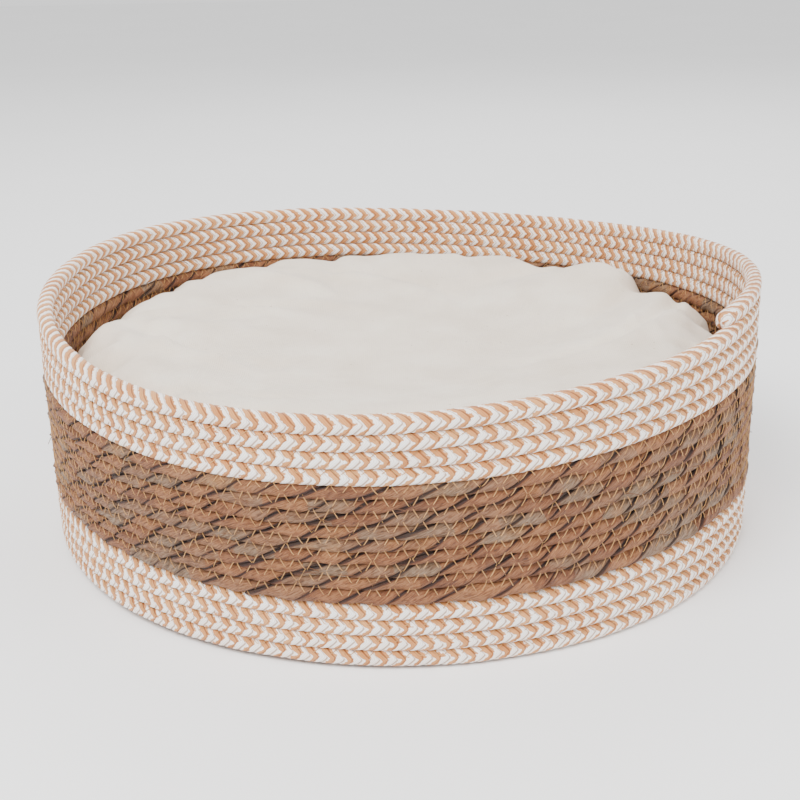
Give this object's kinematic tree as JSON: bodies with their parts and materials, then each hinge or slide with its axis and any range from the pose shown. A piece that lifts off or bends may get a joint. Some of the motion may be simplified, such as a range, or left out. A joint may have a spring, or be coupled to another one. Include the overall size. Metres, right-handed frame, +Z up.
{
  "type": "coiled rope pet bed",
  "caption": "Low round pet bed: cotton and water-hyacinth ropes coiled and sewn into a basket, with a loose round cushion inside.",
  "frame": {"origin": "on the ground, under the centre of the basket's bounding box", "axes": "+Z up through the open top, -Y the front, +X the right, seen from the front. The ropes' coils start 16 degrees in front of +X"},
  "size_m": [0.4496, 0.4494, 0.1569],
  "materials": {
    "cotton_rope": "matte",
    "hyacinth_rope": "matte",
    "sewing_thread": "matte",
    "cushion_cloth": "matte",
    "cushion_fibre": "matte"
  },
  "bodies": {
    "basket": {"base_coil": "cotton_rope", "base_edge_turn": "cotton_rope", "lower_turn_1": "cotton_rope", "lower_turn_2": "cotton_rope", "lower_turn_3": "cotton_rope", "lower_turn_4": "cotton_rope", "middle_turn_1": "hyacinth_rope", "middle_turn_2": "hyacinth_rope", "middle_turn_3": "hyacinth_rope", "middle_turn_4": "hyacinth_rope", "middle_turn_5": "hyacinth_rope", "middle_turn_6": "hyacinth_rope", "middle_turn_7": "hyacinth_rope", "middle_turn_8": "hyacinth_rope", "middle_turn_9": "hyacinth_rope", "upper_turn_1": "cotton_rope", "upper_turn_2": "cotton_rope", "upper_turn_3": "cotton_rope", "upper_turn_4": "cotton_rope", "rim_rope_end": "cotton_rope", "base_stitching": "sewing_thread", "lower_stitching": "sewing_thread", "middle_stitching": "sewing_thread", "upper_stitching": "sewing_thread"},
    "cushion": {"cushion_cover_bottom": "cushion_cloth", "cushion_filling": "cushion_fibre", "cushion_cover_top": "cushion_cloth", "cushion_edge_seam": "cushion_cloth"}
  },
  "joints": [
    {"name": "cushion_lift", "type": "slide", "parent": "basket", "child": "cushion", "axis": [0, 0, 1], "range_m": [0, 0.2]}
  ]
}
